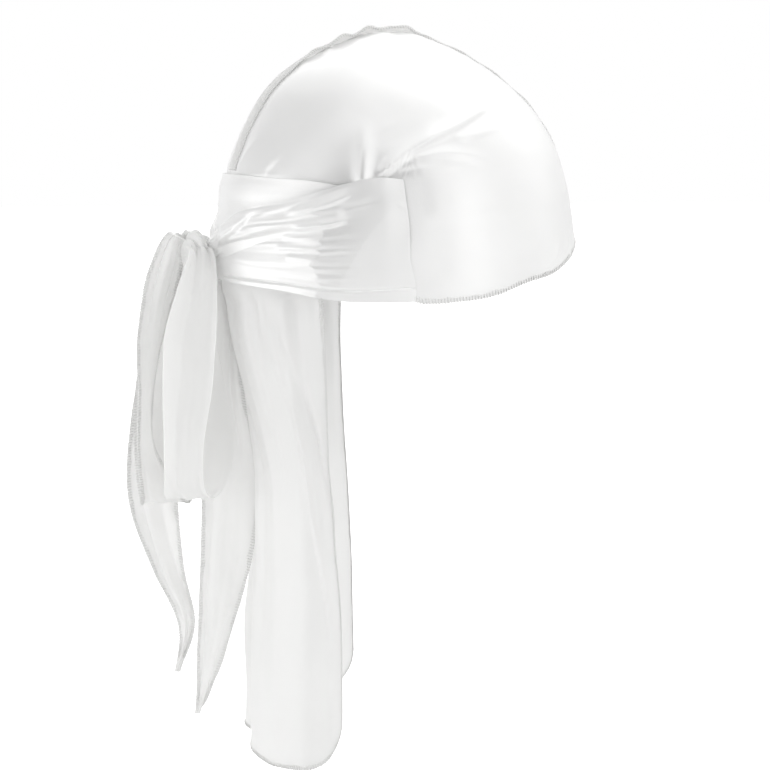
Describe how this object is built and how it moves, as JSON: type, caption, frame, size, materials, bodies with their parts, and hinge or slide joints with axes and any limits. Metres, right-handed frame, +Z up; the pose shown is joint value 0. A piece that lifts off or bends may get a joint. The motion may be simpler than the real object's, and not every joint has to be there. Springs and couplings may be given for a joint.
{
  "type": "durag tied at the back, in its worn form",
  "caption": "Satin head wrap: a two-panel cap with a raised centre seam, wide ties knotted in a bow at the back, and a long gathered cape.",
  "frame": {"origin": "the inside of the crown's top, where the cap rests on the head", "axes": "+Z up, -Y the way the wearer faces, -X the wearer's right"},
  "size_m": [0.1594, 0.2537, 0.4166],
  "materials": {
    "crown_satin": "white satin, soft sheen",
    "seam_edge": "overlocked satin edge",
    "tie_satin": "white satin, soft sheen",
    "cape_satin": "white satin, soft sheen"
  },
  "bodies": {
    "root": {"crown_right": "crown_satin", "crown_left": "crown_satin", "center_seam": "seam_edge", "nape_wrap": "tie_satin", "tie_right": "tie_satin", "tie_left": "tie_satin", "knot": "tie_satin", "loop_right": "tie_satin", "loop_left": "tie_satin", "tail_right": "tie_satin", "tail_left": "tie_satin", "cape": "cape_satin"}
  },
  "joints": []
}
